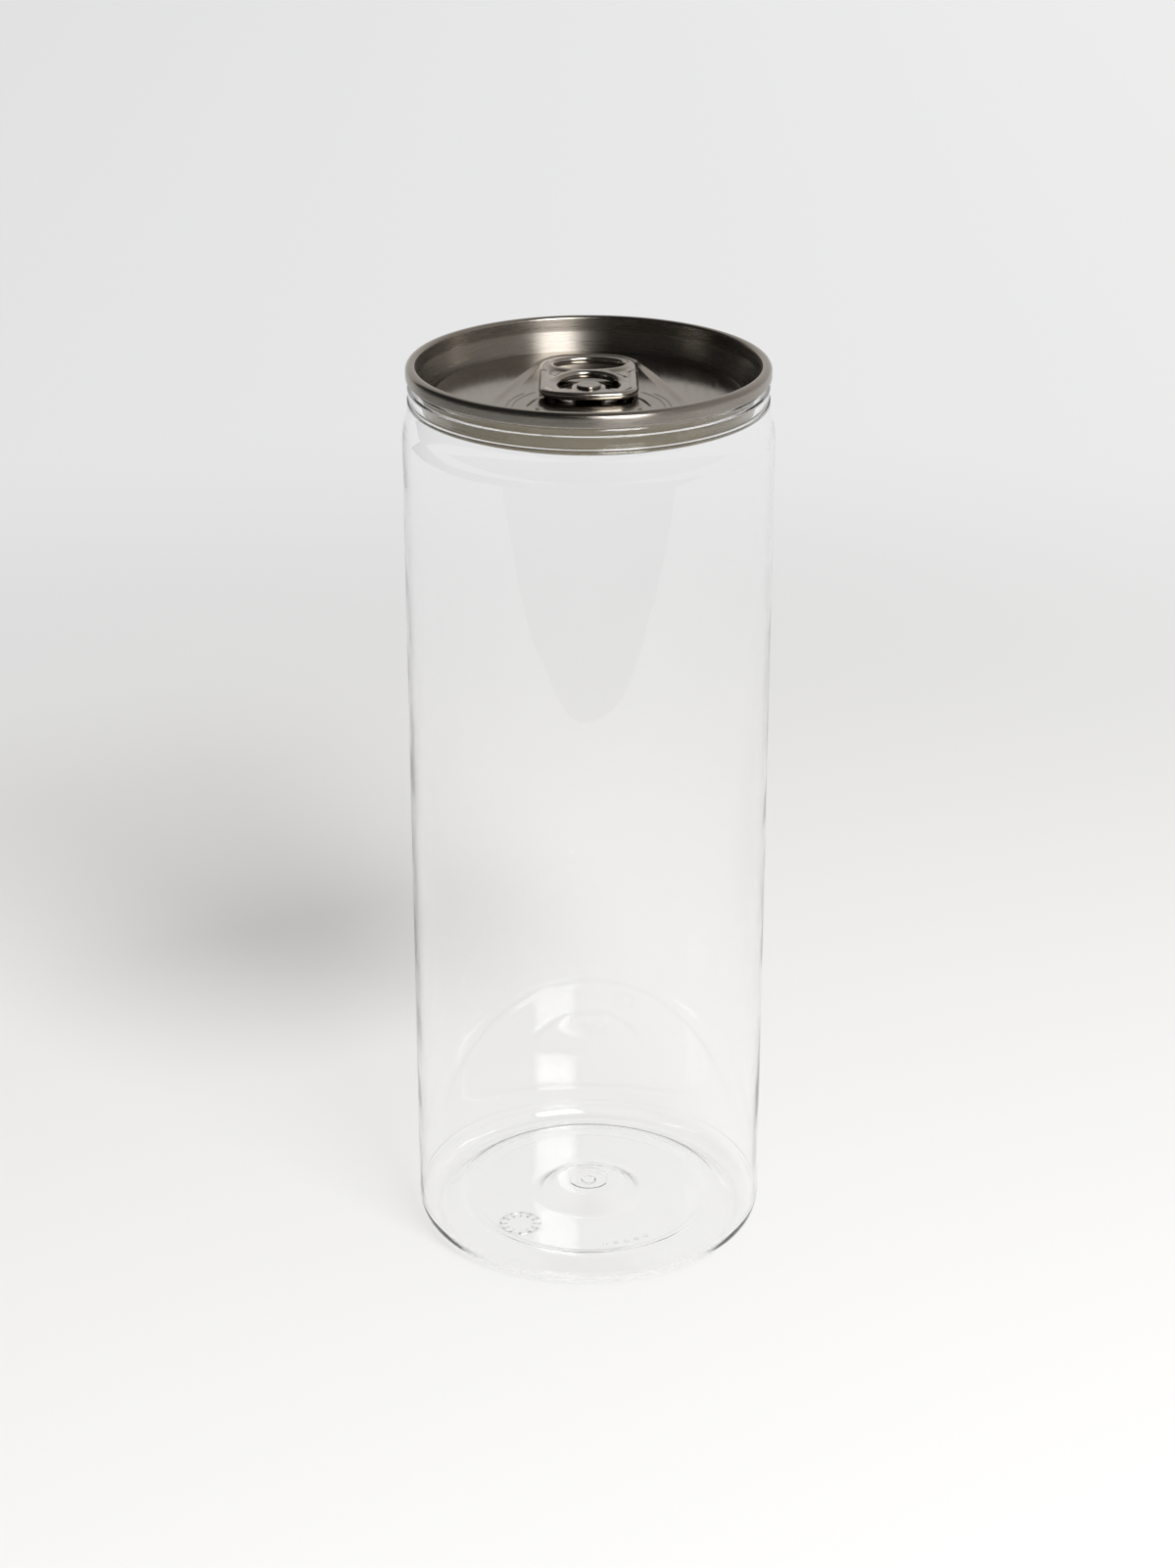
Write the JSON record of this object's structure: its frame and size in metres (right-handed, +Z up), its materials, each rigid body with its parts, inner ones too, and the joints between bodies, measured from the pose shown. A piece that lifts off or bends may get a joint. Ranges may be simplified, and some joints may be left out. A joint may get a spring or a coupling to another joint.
{
  "type": "clear plastic drinks can with metal easy-open end",
  "caption": "Tall clear plastic can, shut and empty, with a metal easy-open end seamed on and a riveted pull tab.",
  "frame": {"origin": "middle of the standing ring, on the plane that the can stands on", "axes": "+Z up along the can's axis, +Y towards the pull tab's finger end, -Y towards the tear panel"},
  "size_m": [0.0616, 0.0616, 0.158],
  "materials": {
    "clear_pet": "water-clear blow-moulded PET, glossy on both faces",
    "end_sheet": "rolled and pressed aluminium sheet, satin",
    "tab_sheet": "pressed and curled aluminium sheet, bright satin"
  },
  "bodies": {
    "root": {"can_body": "clear_pet", "can_end": "end_sheet", "pull_tab": "tab_sheet"}
  },
  "joints": []
}
